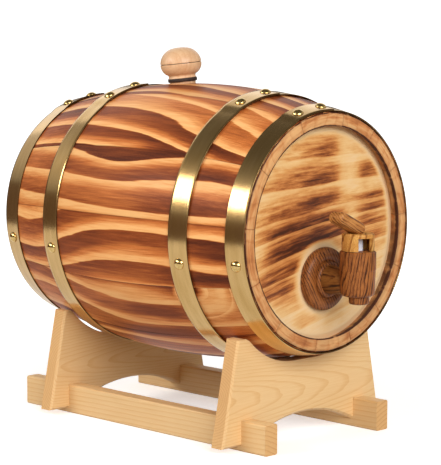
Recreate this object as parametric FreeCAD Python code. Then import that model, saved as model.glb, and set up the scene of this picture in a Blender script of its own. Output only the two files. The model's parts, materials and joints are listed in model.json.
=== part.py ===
import FreeCAD, Part
import math
import os

# A small table wine barrel that lies on a two-board stand, in millimetres.
#
# Everything is modelled about the barrel's middle: Y runs along the barrel's axis with the tap
# towards -Y, Z is up and X is across. Angles round the barrel are counted from the top towards +X.
# save() then moves each piece to the object's own frame: the floor is z = 0, and x = y = 0 is the
# middle of the whole footprint.

Vector = FreeCAD.Vector

# ---- Barrel: staves and heads
AXIS_HEIGHT = 158.6
BARREL_LENGTH = 268.0
BELLY_RADIUS = 106.6
END_RADIUS = 89.0
STAVE_THICKNESS = 12.5
CHIME_THICKNESS = 10.0
FIRST_STAVE_ANGLE = -21.0
STAVE_WIDTHS = (31, 24, 25, 25.5, 27.5, 26, 25, 26, 31, 28, 28, 29, 34)

CHIME_DEPTH = 7.3
HEAD_THICKNESS = 9.0
HEAD_RADIUS = 85.0
HEAD_FACE_RADIUS = 77.5
HEAD_BEVEL_DEPTH = 3.0
HEAD_TONGUE = 3.5
HEAD_BACK_RADIUS = 81.0
GROOVE_LIP_SHARE = 0.6
GROOVE_HEEL_SHARE = 0.08
HEAD_JOINTS = (-16.0, 34.0)
FRONT_HEAD_TURN = -10.0
REAR_HEAD_TURN = 6.0

# ---- Hoops: each is (name, rear edge, front edge, angle of the first rivet of its lap)
HOOPS = (
    ("front_chime", -118.0, -134.0, -16.5),
    ("front_quarter", -68.5, -86.1, -21.0),
    ("rear_quarter", 72.9, 55.3, -23.0),
    ("rear_chime", 134.0, 115.2, -20.0),
)
HOOP_THICKNESS = 1.0
HOOP_STANDOFF = 0.8
LAP_PITCH = 15.5
SIDE_NAIL_ANGLE = 101.2
NAIL_HEAD_RADIUS = 4.4
NAIL_HEAD_HEIGHT = 2.6
NAIL_SHANK_RADIUS = 0.9
NAIL_SHANK_LENGTH = 8.0
NAIL_POINT_LENGTH = 1.5

# ---- Bung
BUNG_Y = 22.6
BUNG_LEAN = 6.0
BUNG_LEAN_TOWARDS = 135.0
BUNG_PLUG_TOP_RADIUS = 10.3
BUNG_PLUG_TIP_RADIUS = 9.3
BUNG_PLUG_DEPTH = 15.0
BUNG_CLEARANCE = 0.3
GASKET_BOTTOM = 1.3
GASKET_TOP = 4.3
GASKET_RADIUS = 11.6
GASKET_BULGE = 0.4
PLUG_TIP_EDGE = 0.8
KNOB_WAIST_RADIUS = 10.6
KNOB_WAIST_HEIGHT = 5.9
KNOB_SHOULDER_RADIUS = 12.2
KNOB_SHOULDER_HEIGHT = 7.4
KNOB_RADIUS = 16.3
KNOB_EQUATOR = 16.0
KNOB_UNDERSIDE = (15.4, 11.2)
KNOB_UPPER_SIDE = (13.1, 23.8)
KNOB_CROWN_RADIUS = 5.9
KNOB_CROWN_HEIGHT = 0.55
KNOB_TOP = 28.4

# ---- Tap
TAP_DROP = 35.0
TAP_REACH = 162.4
TAP_BODY_RADIUS = 13.5
TAP_BODY_TOP = -11.0
TAP_BODY_SHOULDER = -24.5
TAP_BODY_BOTTOM = -44.4
TAP_NOSE_RADIUS = 12.6
TAP_FOOT_ROUND = 3.0
TAP_SHOULDER_STEP = 0.3
TAP_SHOULDER_EDGE = 0.8
TAP_TOP_EDGE = 0.9
CAVITY_TOP_RADIUS = 8.5
CAVITY_BOTTOM_RADIUS = 7.2
CAVITY_BOTTOM = -40.0
PLUG_CLEARANCE = 0.06
PASSAGE_RADIUS = 4.0
STEM_RADIUS = 11.0
STEM_NECK_RADIUS = 9.0
STEM_NECK_START = 8.5
STEM_TENON_RADIUS = 7.0
TAP_HOLE_RADIUS = 9.5
STEM_CLEARANCE = 0.4
STEM_INSIDE = 6.0
ROSETTE_RADIUS = 23.8
ROSETTE_THICKNESS = 8.0
ROSETTE_EDGE = 0.8
ROSETTE_SIDE_HEIGHT = 3.2
ROSETTE_FACE_RADIUS = 20.4
ROSETTE_FACE_HEIGHT = 7.4
ROSETTE_CREST_RADIUS = 17.4
ROSETTE_VALLEY_RADIUS = 14.0
ROSETTE_VALLEY_HEIGHT = 6.4
ROSETTE_BEAD_RADIUS = 13.4
ROSETTE_BEAD = 1.6
SPOUT_RADIUS = 7.5
SPOUT_BORE_RADIUS = 3.5
SPOUT_TENON_RADIUS = 5.5
SPOUT_LENGTH = 5.9
SPOUT_FORWARD = 1.5
SPOUT_EDGE = 1.8

# ---- Tap key: what turns
KEY_GAP = 0.3
COLLAR_RADIUS = 12.0
COLLAR_WALL = 2.4
COLLAR_TOP = 2.2
COLLAR_ROOF = 3.2
COLLAR_EDGE = 1.6
WINDOW_FROM = 223.0
WINDOW_TO = 281.0
SPINDLE_RADIUS = 3.6
HANDLE_ROOT = (-3.0, 5.8)
HANDLE_TIP = (-21.5, 14.6)
HANDLE_HALF_HEIGHT = 4.4
HANDLE_WIDTH = 14.0
HANDLE_EDGE_ROUND = 2.6

# ---- Stand
RAIL_LENGTH = 271.3
RAIL_REAR_END = 136.3
RAIL_WIDTH = 12.8
RAIL_HEIGHT = 22.9
RAIL_X = 62.1
BOARD_THICKNESS = 13.4
FRONT_BOARD_Y = -103.9
REAR_BOARD_Y = 90.3
BOARD_HALF_TOP = 72.0
BOARD_HALF_FOOT = 87.6
HORN_HEIGHT = 83.0
HORN_FLAT = 63.5
FOOT_LIFT = 4.0
ARCH_SPRING = 6.3
ARCH_PEAK = 20.0
CRADLE_FLAT = 12.0
CRADLE_ROUND = 64.0
CRADLE_CLEARANCE = 0.35
HORN_CLEARANCE = 0.8
HORN_SLOPE_WIDTH = 4.5
HORN_SLOPE_RISE = 0.6
HORN_MARGIN = 1.0
BOARD_EDGE = 1.6
RAIL_EDGE = 1.0
SCREW_HEAD_RADIUS = 3.5
SCREW_HEAD_HEIGHT = 2.2
SCREW_SHANK_RADIUS = 1.75
SCREW_RECESS = 0.8
SCREW_LENGTH = 38.0
SCREW_POINT = 6.0
SCREW_SLOT_LENGTH = 4.4
SCREW_SLOT_WIDTH = 1.0
SCREW_SLOT_DEPTH = 1.1

# ---- Sizes that follow from the ones above
HALF_LENGTH = BARREL_LENGTH / 2
BELLY_RISE = BELLY_RADIUS - END_RADIUS
BEND_RADIUS = (HALF_LENGTH**2 + BELLY_RISE**2) / (2 * BELLY_RISE)
HEAD_FACE = HALF_LENGTH - CHIME_DEPTH
HEAD_BACK = HEAD_FACE - HEAD_THICKNESS
TAP_FRONT = TAP_REACH + TAP_BODY_RADIUS
MIDDLE_TO_FRAME = Vector(0, (TAP_FRONT - RAIL_REAR_END) / 2, AXIS_HEIGHT)
FLOOR = -AXIS_HEIGHT

X_AXIS = Vector(1, 0, 0)
Y_AXIS = Vector(0, 1, 0)
Z_AXIS = Vector(0, 0, 1)
CENTRE = Vector(0, 0, 0)


def save(node, shape):
    """Write one piece in the object's own frame."""
    placed = shape.copy()
    placed.translate(MIDDLE_TO_FRAME)
    placed.exportStep("parts/" + node + ".step")


def barrel_radius(y):
    """Outer radius of the staves at a distance y from the barrel's middle."""
    return BELLY_RADIUS - BEND_RADIUS + math.sqrt(BEND_RADIUS**2 - y**2)


def turned_plane(r, height):
    """The half plane that lathe work about Z is drawn in."""
    return Vector(r, 0, height)


def stave_plane(y, r):
    """The half plane through the barrel's axis and its top."""
    return Vector(0, y, r)


def closed_face(plane, start, *steps):
    """A face from an outline: a step of one point is a line, of two points an arc via the first."""
    edges = []
    first = plane(*start)
    here = first
    for step in steps:
        if isinstance(step[0], tuple):
            via = plane(*step[0])
            end = plane(*step[1])
            edges.append(Part.Arc(here, via, end).toShape())
        else:
            end = plane(*step)
            edges.append(Part.LineSegment(here, end).toShape())
        here = end
    if here.distanceToPoint(first) > 1e-6:
        edges.append(Part.LineSegment(here, first).toShape())
    return Part.Face(Part.Wire(edges))


def lathe(start, *steps):
    """A solid turned about Z from an outline of (radius, height) points."""
    return closed_face(turned_plane, start, *steps).revolve(CENTRE, Z_AXIS, 360)


def along_barrel(shape):
    """Lay a piece turned about Z down, so that its +Z points forward, towards -Y."""
    laid = shape.copy()
    laid.rotate(CENTRE, X_AXIS, 90)
    return laid


def cap_over(radius, base, height):
    """The arc of a round cap, from its rim to its top on the axis, as one outline step."""
    sphere = (radius**2 + height**2) / (2 * height)
    half_angle = math.asin(radius / sphere) / 2
    middle_height = base + height - sphere + sphere * math.cos(half_angle)
    return (sphere * math.sin(half_angle), middle_height), (0, base + height)


def cylinder(radius, bottom, top, centre_y=0.0):
    return Part.makeCylinder(radius, top - bottom, Vector(0, centre_y, bottom), Z_AXIS)


def cone(bottom, bottom_radius, top, top_radius):
    return Part.makeCone(bottom_radius, top_radius, top - bottom, Vector(0, 0, bottom), Z_AXIS)


# ---- Staves

def groove_lip():
    """Where the chime's inner wall meets the front bevel of the head: (y, radius)."""
    lip_radius = HEAD_FACE_RADIUS + GROOVE_LIP_SHARE * (HEAD_RADIUS - HEAD_FACE_RADIUS)
    return HEAD_FACE - GROOVE_LIP_SHARE * HEAD_BEVEL_DEPTH, lip_radius


def groove_heel():
    """Where the inside of the stave meets the rear bevel of the head: (y, radius)."""
    bevel_top = HEAD_FACE - HEAD_BEVEL_DEPTH - HEAD_TONGUE
    y = HEAD_BACK + GROOVE_HEEL_SHARE * (bevel_top - HEAD_BACK)
    return y, HEAD_BACK_RADIUS + GROOVE_HEEL_SHARE * (HEAD_RADIUS - HEAD_BACK_RADIUS)


def stave_section():
    """Lengthwise section of a stave with its two chimes and head grooves, as a face."""
    lip_y, lip_r = groove_lip()
    heel_y, heel_r = groove_heel()
    tongue_front = HEAD_FACE - HEAD_BEVEL_DEPTH
    tongue_back = tongue_front - HEAD_TONGUE
    rim_r = END_RADIUS - CHIME_THICKNESS
    return closed_face(
        stave_plane,
        (-HALF_LENGTH, END_RADIUS),
        ((0, BELLY_RADIUS), (HALF_LENGTH, END_RADIUS)),
        (HALF_LENGTH, rim_r),
        (lip_y, lip_r),
        (tongue_front, HEAD_RADIUS),
        (tongue_back, HEAD_RADIUS),
        (heel_y, heel_r),
        ((0, BELLY_RADIUS - STAVE_THICKNESS), (-heel_y, heel_r)),
        (-tongue_back, HEAD_RADIUS),
        (-tongue_front, HEAD_RADIUS),
        (-lip_y, lip_r),
        (-HALF_LENGTH, rim_r),
    )


def make_staves():
    staves = []
    angle = FIRST_STAVE_ANGLE
    for width in STAVE_WIDTHS:
        section = stave_section()
        section.rotate(CENTRE, Y_AXIS, angle)
        staves.append(section.revolve(CENTRE, Y_AXIS, width))
        angle += width
    staves[0] = staves[0].cut(bung_hole())
    return staves


# ---- Heads: three boards each, with a bevelled rim that sits in the staves' groove

def head_disc():
    """A head whose outer face is at z = HEAD_FACE, turned about Z."""
    tongue_front = HEAD_FACE - HEAD_BEVEL_DEPTH
    return lathe(
        (0, HEAD_BACK),
        (HEAD_BACK_RADIUS, HEAD_BACK),
        (HEAD_RADIUS, tongue_front - HEAD_TONGUE),
        (HEAD_RADIUS, tongue_front),
        (HEAD_FACE_RADIUS, HEAD_FACE),
        (0, HEAD_FACE),
    )


def head_boards(disc, turn):
    """Split an upright head into its bottom, middle and top boards."""
    edges = (-HEAD_RADIUS - 1,) + HEAD_JOINTS + (HEAD_RADIUS + 1,)
    boards = []
    for low, high in zip(edges, edges[1:]):
        slab = Part.makeBox(4 * HEAD_RADIUS, 4 * BARREL_LENGTH, high - low)
        slab.translate(Vector(-2 * HEAD_RADIUS, -2 * BARREL_LENGTH, low))
        slab.rotate(CENTRE, Y_AXIS, turn)
        boards.append(disc.common(slab))
    return boards


def make_heads():
    front = along_barrel(head_disc())
    tap_hole = along_barrel(Part.makeCylinder(TAP_HOLE_RADIUS, HALF_LENGTH))
    tap_hole.translate(Vector(0, 0, -TAP_DROP))
    front = front.cut(tap_hole)
    rear = along_barrel(head_disc())
    rear.rotate(CENTRE, Z_AXIS, 180)
    heads = {}
    for end, disc, turn in (("front", front, FRONT_HEAD_TURN), ("rear", rear, REAR_HEAD_TURN)):
        for place, board in zip(("bottom", "middle", "top"), head_boards(disc, turn)):
            heads["head_" + end + "_" + place] = board
    return heads


# ---- Hoops and their nails

def hoop_line(rear_edge, front_edge):
    """Inner radius at both edges: the edge nearer the belly grips, and the other stands off."""
    rear_off, front_off = 0.0, HOOP_STANDOFF
    if abs(rear_edge) > abs(front_edge):
        rear_off, front_off = HOOP_STANDOFF, 0.0
    return barrel_radius(rear_edge) + rear_off, barrel_radius(front_edge) + front_off


def make_hoop(rear_edge, front_edge):
    rear_r, front_r = hoop_line(rear_edge, front_edge)
    section = closed_face(
        stave_plane,
        (rear_edge, rear_r),
        (front_edge, front_r),
        (front_edge, front_r + HOOP_THICKNESS),
        (rear_edge, rear_r + HOOP_THICKNESS),
    )
    return section.revolve(CENTRE, Y_AXIS, 360)


def make_nail():
    """A domed brass nail with the underside of its head at z = 0."""
    return lathe(
        (0, -NAIL_SHANK_LENGTH),
        (NAIL_SHANK_RADIUS, NAIL_POINT_LENGTH - NAIL_SHANK_LENGTH),
        (NAIL_SHANK_RADIUS, 0),
        (NAIL_HEAD_RADIUS, 0),
        cap_over(NAIL_HEAD_RADIUS, 0, NAIL_HEAD_HEIGHT),
    )


def make_hoop_nails(rear_edge, front_edge, lap_angle):
    rear_r, front_r = hoop_line(rear_edge, front_edge)
    slope = math.degrees(math.atan2(rear_r - front_r, rear_edge - front_edge))
    seat = Vector(0, (rear_edge + front_edge) / 2, (rear_r + front_r) / 2 + HOOP_THICKNESS)
    nails = []
    for angle in (lap_angle, lap_angle + LAP_PITCH, SIDE_NAIL_ANGLE, -SIDE_NAIL_ANGLE):
        nail = make_nail()
        nail.rotate(CENTRE, X_AXIS, slope)
        nail.translate(seat)
        nail.rotate(CENTRE, Y_AXIS, angle)
        nails.append(nail)
    return Part.makeCompound(nails)


# ---- Bung

def place_bung(shape):
    """Stand a piece turned about Z on the top stave, leaning as the hole was bored."""
    towards = math.radians(BUNG_LEAN_TOWARDS)
    lean_axis = Vector(-math.sin(towards), math.cos(towards), 0)
    placed = shape.copy()
    placed.rotate(CENTRE, lean_axis, BUNG_LEAN)
    placed.translate(Vector(0, BUNG_Y, barrel_radius(BUNG_Y)))
    return placed


def bung_hole():
    """The plug's cone, wider by the clearance and longer by a margin at both ends."""
    margin = 4.0
    taper = (BUNG_PLUG_TOP_RADIUS - BUNG_PLUG_TIP_RADIUS) / (BUNG_PLUG_DEPTH + GASKET_BOTTOM)
    tip = BUNG_PLUG_TIP_RADIUS + BUNG_CLEARANCE
    mouth = BUNG_PLUG_TOP_RADIUS + BUNG_CLEARANCE + taper * (margin - GASKET_BOTTOM)
    return place_bung(cone(-BUNG_PLUG_DEPTH - margin, tip - taper * margin, margin, mouth))


def make_bung():
    plug = lathe(
        (0, -BUNG_PLUG_DEPTH),
        (BUNG_PLUG_TIP_RADIUS - PLUG_TIP_EDGE, -BUNG_PLUG_DEPTH),
        (BUNG_PLUG_TIP_RADIUS, PLUG_TIP_EDGE - BUNG_PLUG_DEPTH),
        (BUNG_PLUG_TOP_RADIUS, GASKET_BOTTOM),
        (BUNG_PLUG_TOP_RADIUS, GASKET_TOP),
        (0, GASKET_TOP),
    )
    middle = (GASKET_BOTTOM + GASKET_TOP) / 2
    gasket = lathe(
        (BUNG_PLUG_TOP_RADIUS, GASKET_BOTTOM),
        (GASKET_RADIUS - GASKET_BULGE, GASKET_BOTTOM),
        ((GASKET_RADIUS, middle), (GASKET_RADIUS - GASKET_BULGE, GASKET_TOP)),
        (BUNG_PLUG_TOP_RADIUS, GASKET_TOP),
    )
    crown_base = KNOB_TOP - KNOB_CROWN_HEIGHT
    knob = lathe(
        (0, GASKET_TOP),
        (GASKET_RADIUS - GASKET_BULGE, GASKET_TOP),
        ((KNOB_WAIST_RADIUS, KNOB_WAIST_HEIGHT), (KNOB_SHOULDER_RADIUS, KNOB_SHOULDER_HEIGHT)),
        (KNOB_UNDERSIDE, (KNOB_RADIUS, KNOB_EQUATOR)),
        (KNOB_UPPER_SIDE, (KNOB_CROWN_RADIUS, crown_base)),
        cap_over(KNOB_CROWN_RADIUS, crown_base, KNOB_CROWN_HEIGHT),
    )
    return {
        "bung_plug": place_bung(plug),
        "bung_gasket": place_bung(gasket),
        "bung_knob": place_bung(knob),
    }


# ---- Tap: the fixed pieces, drawn about the key's upright axis and then moved to the front

def place_tap(shape):
    placed = shape.copy()
    placed.translate(Vector(0, -TAP_REACH, 0))
    return placed


def level_cylinder(radius, near, far):
    """A cylinder at the stem's height that runs back towards the barrel, from near to far."""
    return Part.makeCylinder(radius, far - near, Vector(0, near, -TAP_DROP), Y_AXIS)


def valve_cavity(grow=0.0):
    """The tapered hole that the valve plug turns in, or that hole made wider by grow."""
    return cone(CAVITY_BOTTOM - grow, CAVITY_BOTTOM_RADIUS + grow,
                TAP_BODY_TOP, CAVITY_TOP_RADIUS + grow)


def tap_body_blank():
    shoulder = TAP_BODY_SHOULDER
    foot = TAP_BODY_BOTTOM
    corner = TAP_FOOT_ROUND * (1 - math.sqrt(0.5))
    return lathe(
        (0, foot),
        (TAP_NOSE_RADIUS - TAP_FOOT_ROUND, foot),
        ((TAP_NOSE_RADIUS - corner, foot + corner), (TAP_NOSE_RADIUS, foot + TAP_FOOT_ROUND)),
        (TAP_BODY_RADIUS - TAP_SHOULDER_STEP, shoulder - TAP_SHOULDER_EDGE),
        (TAP_BODY_RADIUS, shoulder),
        (TAP_BODY_RADIUS, TAP_BODY_TOP - TAP_TOP_EDGE),
        (TAP_BODY_RADIUS - TAP_TOP_EDGE, TAP_BODY_TOP),
        (0, TAP_BODY_TOP),
    )


def make_tap_body():
    body = tap_body_blank().cut(valve_cavity())
    body = body.cut(level_cylinder(STEM_TENON_RADIUS, 0, 2 * TAP_BODY_RADIUS))
    body = body.cut(cylinder(SPOUT_TENON_RADIUS, TAP_BODY_BOTTOM - 1, CAVITY_BOTTOM, -SPOUT_FORWARD))
    return body


def make_tap_stem():
    """Round stem: a tenon into the tap's body, and a long one through the head."""
    head_front = TAP_REACH - HEAD_FACE
    head_rear = TAP_REACH - HEAD_BACK + STEM_INSIDE
    rosette_front = head_front - ROSETTE_THICKNESS - ROSETTE_BEAD
    neck = Part.makeCone(STEM_NECK_RADIUS, STEM_RADIUS, rosette_front - STEM_NECK_START,
                         Vector(0, STEM_NECK_START, -TAP_DROP), Y_AXIS).cut(tap_body_blank())
    collar = level_cylinder(STEM_RADIUS, rosette_front, head_front)
    tenon = level_cylinder(STEM_TENON_RADIUS, 0, head_front)
    head_tenon = level_cylinder(TAP_HOLE_RADIUS, head_front, head_rear)
    stem = neck.fuse([collar, tenon, head_tenon]).removeSplitter()
    stem = stem.cut(valve_cavity(grow=STEM_CLEARANCE))
    stem = stem.cut(cylinder(CAVITY_BOTTOM_RADIUS, TAP_BODY_BOTTOM, CAVITY_BOTTOM))
    return stem.cut(level_cylinder(PASSAGE_RADIUS, 0, head_rear))


def make_rosette():
    """Turned ring that covers the hole in the head and beds against it."""
    bead_side = (ROSETTE_BEAD_RADIUS - 0.7, ROSETTE_THICKNESS + 1.0)
    ring = lathe(
        (STEM_RADIUS, 0),
        (ROSETTE_RADIUS - ROSETTE_EDGE, 0),
        ((ROSETTE_RADIUS, ROSETTE_SIDE_HEIGHT), (ROSETTE_FACE_RADIUS, ROSETTE_FACE_HEIGHT)),
        ((ROSETTE_CREST_RADIUS, ROSETTE_THICKNESS), (ROSETTE_VALLEY_RADIUS, ROSETTE_VALLEY_HEIGHT)),
        (ROSETTE_BEAD_RADIUS, ROSETTE_VALLEY_HEIGHT),
        (bead_side, (STEM_RADIUS, ROSETTE_THICKNESS + ROSETTE_BEAD)),
    )
    ring = along_barrel(ring)
    ring.translate(Vector(0, TAP_REACH - HEAD_FACE, -TAP_DROP))
    return ring


def make_spout():
    bottom = TAP_BODY_BOTTOM - SPOUT_LENGTH
    corner = SPOUT_EDGE * (1 - math.sqrt(0.5))
    spout = lathe(
        (SPOUT_BORE_RADIUS, bottom),
        (SPOUT_RADIUS - SPOUT_EDGE, bottom),
        ((SPOUT_RADIUS - corner, bottom + corner), (SPOUT_RADIUS, bottom + SPOUT_EDGE)),
        (SPOUT_RADIUS, TAP_BODY_BOTTOM),
        (SPOUT_TENON_RADIUS, TAP_BODY_BOTTOM),
        (SPOUT_TENON_RADIUS, CAVITY_BOTTOM),
        (SPOUT_BORE_RADIUS, CAVITY_BOTTOM),
    )
    spout.translate(Vector(0, -SPOUT_FORWARD, 0))
    return spout


# ---- Tap key: handle, windowed collar, spindle and valve plug, which turn together

def make_handle():
    """Lever with round ends, drawn from the side and as wide as HANDLE_WIDTH."""
    root_x, root_z = HANDLE_ROOT
    tip_x, tip_z = HANDLE_TIP
    length = math.hypot(tip_x - root_x, tip_z - root_z)
    along_x = (tip_x - root_x) / length * HANDLE_HALF_HEIGHT
    along_z = (tip_z - root_z) / length * HANDLE_HALF_HEIGHT

    def side_plane(x, z):
        return Vector(x, -HANDLE_WIDTH / 2, z)

    side = closed_face(
        side_plane,
        (root_x - along_z, root_z + along_x),
        ((root_x - along_x, root_z - along_z), (root_x + along_z, root_z - along_x)),
        (tip_x + along_z, tip_z - along_x),
        ((tip_x + along_x, tip_z + along_z), (tip_x - along_z, tip_z + along_x)),
    )
    bar = side.extrude(Vector(0, HANDLE_WIDTH, 0))
    flat_sides = [f for f in bar.Faces if abs(f.normalAt(0, 0).y) > 0.99]
    edges = [e for f in flat_sides for e in f.Edges]
    return bar.makeFillet(HANDLE_EDGE_ROUND, edges)


def make_collar():
    bottom = TAP_BODY_TOP + KEY_GAP
    inner = COLLAR_RADIUS - COLLAR_WALL
    corner = COLLAR_EDGE * (1 - math.sqrt(0.5))
    collar = lathe(
        (inner, bottom),
        (COLLAR_RADIUS, bottom),
        (COLLAR_RADIUS, COLLAR_TOP - COLLAR_EDGE),
        ((COLLAR_RADIUS - corner, COLLAR_TOP - corner), (COLLAR_RADIUS - COLLAR_EDGE, COLLAR_TOP)),
        (SPINDLE_RADIUS, COLLAR_TOP),
        (SPINDLE_RADIUS, COLLAR_TOP - COLLAR_ROOF),
        (inner, COLLAR_TOP - COLLAR_ROOF),
    )
    window = Part.makeCylinder(2 * COLLAR_RADIUS, COLLAR_TOP - COLLAR_ROOF - bottom + 1,
                               Vector(0, 0, bottom - 1), Z_AXIS, WINDOW_TO - WINDOW_FROM)
    window.rotate(CENTRE, Z_AXIS, WINDOW_FROM)
    return collar.cut(window)


def make_key():
    seat = TAP_BODY_TOP + KEY_GAP
    handle = make_handle()
    spindle = cylinder(SPINDLE_RADIUS, seat, HANDLE_ROOT[1])
    plug = cone(CAVITY_BOTTOM + KEY_GAP, CAVITY_BOTTOM_RADIUS - PLUG_CLEARANCE,
                seat, CAVITY_TOP_RADIUS - PLUG_CLEARANCE)
    passage = Part.makeCylinder(PASSAGE_RADIUS, 4 * CAVITY_TOP_RADIUS,
                                Vector(-2 * CAVITY_TOP_RADIUS, 0, -TAP_DROP), X_AXIS)
    outlet = cylinder(SPOUT_BORE_RADIUS, CAVITY_BOTTOM, -TAP_DROP)
    return {
        "tap_handle": handle.cut(spindle),
        "tap_collar": make_collar().cut(handle),
        "tap_spindle": spindle,
        "tap_valve_plug": plug.cut(passage).cut(outlet),
    }


# ---- Stand

def cradle_rise(x):
    """How far the cradle has climbed at x, before it is fitted to a board's own height."""
    return CRADLE_ROUND - math.sqrt(CRADLE_ROUND**2 - (x - CRADLE_FLAT)**2)


def board_outline(barrel_r):
    """Right half of a saddle board seen from the front, for a barrel of this radius there."""
    barrel_side = math.sqrt(barrel_r**2 - (AXIS_HEIGHT - HORN_HEIGHT)**2)
    horn_in = max(HORN_FLAT, barrel_side + HORN_MARGIN)
    reach = horn_in - HORN_SLOPE_WIDTH
    half_way = (CRADLE_FLAT + reach) / 2
    low = AXIS_HEIGHT - barrel_r - CRADLE_CLEARANCE
    high = AXIS_HEIGHT - math.sqrt(barrel_r**2 - reach**2) - HORN_CLEARANCE
    mid = low + (high - low) * cradle_rise(half_way) / cradle_rise(reach)
    horn_mid = (reach + HORN_SLOPE_WIDTH / 2, high + HORN_SLOPE_RISE * (HORN_HEIGHT - high))
    notch_in = RAIL_X - RAIL_WIDTH / 2
    notch_out = RAIL_X + RAIL_WIDTH / 2
    return {
        "cradle": ((CRADLE_FLAT, low), (half_way, mid), (reach, high)),
        "horn": (horn_mid, (horn_in, HORN_HEIGHT), (BOARD_HALF_TOP, HORN_HEIGHT)),
        "foot": ((BOARD_HALF_FOOT, FOOT_LIFT), (notch_out, FOOT_LIFT)),
        "notch": ((notch_out, RAIL_HEIGHT), (notch_in, RAIL_HEIGHT), (notch_in, ARCH_SPRING)),
    }


def make_board(middle_y):
    """Saddle board: a cradle on top, an arch below and a notch over each rail."""
    inner_face = abs(middle_y) - BOARD_THICKNESS / 2
    points = board_outline(barrel_radius(inner_face))

    def front_plane(x, z):
        return Vector(x, middle_y - BOARD_THICKNESS / 2, z + FLOOR)

    def mirrored(point):
        return -point[0], point[1]

    cradle_start, cradle_mid, cradle_end = points["cradle"]
    horn_mid, horn_in, horn_out = points["horn"]
    foot_out, foot_in = points["foot"]
    notch_top_out, notch_top_in, notch_low = points["notch"]
    right = [(cradle_mid, cradle_end), (horn_mid, horn_in), horn_out, foot_out, foot_in,
             notch_top_out, notch_top_in, notch_low]
    arch = ((0, ARCH_PEAK), mirrored(notch_low))
    left = [mirrored(p) for p in (notch_top_in, notch_top_out, foot_in, foot_out, horn_out, horn_in)]
    left_curves = [(mirrored(horn_mid), mirrored(cradle_end)),
                   (mirrored(cradle_mid), mirrored(cradle_start))]
    face = closed_face(front_plane, cradle_start, *right, arch, *left, *left_curves)
    board = face.extrude(Vector(0, BOARD_THICKNESS, 0))
    return board.makeChamfer(BOARD_EDGE, eased_edges(board, middle_y))


def eased_edges(board, middle_y):
    """The long outer edges of a board's two faces, without the notches."""
    edges = []
    for edge in board.Edges:
        box = edge.BoundBox
        on_face = box.YLength < 0.01 and abs(abs(box.YMin - middle_y) - BOARD_THICKNESS / 2) < 0.01
        side = box.ZLength > HORN_HEIGHT / 2
        foot = box.ZMax < FLOOR + FOOT_LIFT + 0.1 and box.XLength > RAIL_WIDTH
        arch = box.XLength > 1.5 * RAIL_X
        if on_face and (side or foot or arch):
            edges.append(edge)
    return edges


def make_rail(x):
    front = RAIL_REAR_END - RAIL_LENGTH
    rail = Part.makeBox(RAIL_WIDTH, RAIL_LENGTH, RAIL_HEIGHT,
                        Vector(x - RAIL_WIDTH / 2, front, FLOOR))
    rail = rail.makeChamfer(RAIL_EDGE, [e for e in rail.Edges if e.BoundBox.YLength > 1])
    for y in (FRONT_BOARD_Y, REAR_BOARD_Y):
        recess = lathe(
            (0, -1),
            (SCREW_HEAD_RADIUS, -1),
            (SCREW_HEAD_RADIUS, SCREW_RECESS),
            (SCREW_SHANK_RADIUS, SCREW_RECESS + SCREW_HEAD_HEIGHT),
            (0, SCREW_RECESS + SCREW_HEAD_HEIGHT),
        )
        recess.translate(Vector(x, y, FLOOR))
        rail = rail.cut(recess)
    return rail


def make_screw(x, y):
    """Countersunk wood screw, driven up through a rail into a board."""
    screw = lathe(
        (0, SCREW_RECESS),
        (SCREW_HEAD_RADIUS, SCREW_RECESS),
        (SCREW_SHANK_RADIUS, SCREW_RECESS + SCREW_HEAD_HEIGHT),
        (SCREW_SHANK_RADIUS, SCREW_LENGTH - SCREW_POINT),
        (0, SCREW_LENGTH),
    )
    for turn in (0, 90):
        slot = Part.makeBox(SCREW_SLOT_LENGTH, SCREW_SLOT_WIDTH, SCREW_SLOT_DEPTH,
                            Vector(-SCREW_SLOT_LENGTH / 2, -SCREW_SLOT_WIDTH / 2, SCREW_RECESS))
        slot.rotate(CENTRE, Z_AXIS, turn)
        screw = screw.cut(slot)
    screw.translate(Vector(x, y, FLOOR))
    return screw


def make_stand():
    screws = [make_screw(x, y) for x in (-RAIL_X, RAIL_X) for y in (FRONT_BOARD_Y, REAR_BOARD_Y)]
    return {
        "stand_board_front": make_board(FRONT_BOARD_Y),
        "stand_board_rear": make_board(REAR_BOARD_Y),
        "stand_rail_left": make_rail(-RAIL_X),
        "stand_rail_right": make_rail(RAIL_X),
        "stand_screws": Part.makeCompound(screws),
    }


def main():
    os.makedirs("parts", exist_ok=True)
    pieces = {"stave_%02d" % (n + 1): stave for n, stave in enumerate(make_staves())}
    pieces.update(make_heads())
    for name, rear_edge, front_edge, lap_angle in HOOPS:
        pieces["hoop_" + name] = make_hoop(rear_edge, front_edge)
        pieces["nails_" + name] = make_hoop_nails(rear_edge, front_edge, lap_angle)
    pieces.update(make_bung())
    pieces["tap_body"] = place_tap(make_tap_body())
    pieces["tap_stem"] = place_tap(make_tap_stem())
    pieces["tap_rosette"] = place_tap(make_rosette())
    pieces["tap_spout"] = place_tap(make_spout())
    pieces.update({name: place_tap(shape) for name, shape in make_key().items()})
    pieces.update(make_stand())
    for name, shape in pieces.items():
        save(name, shape)
        print("%-20s valid %s solids %d volume %9.1f" % (name, shape.isValid(), len(shape.Solids),
                                                        shape.Volume))


main()
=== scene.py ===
import cmath
import json
import math
import random

import bmesh
import bpy
from mathutils import Matrix, Vector


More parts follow.
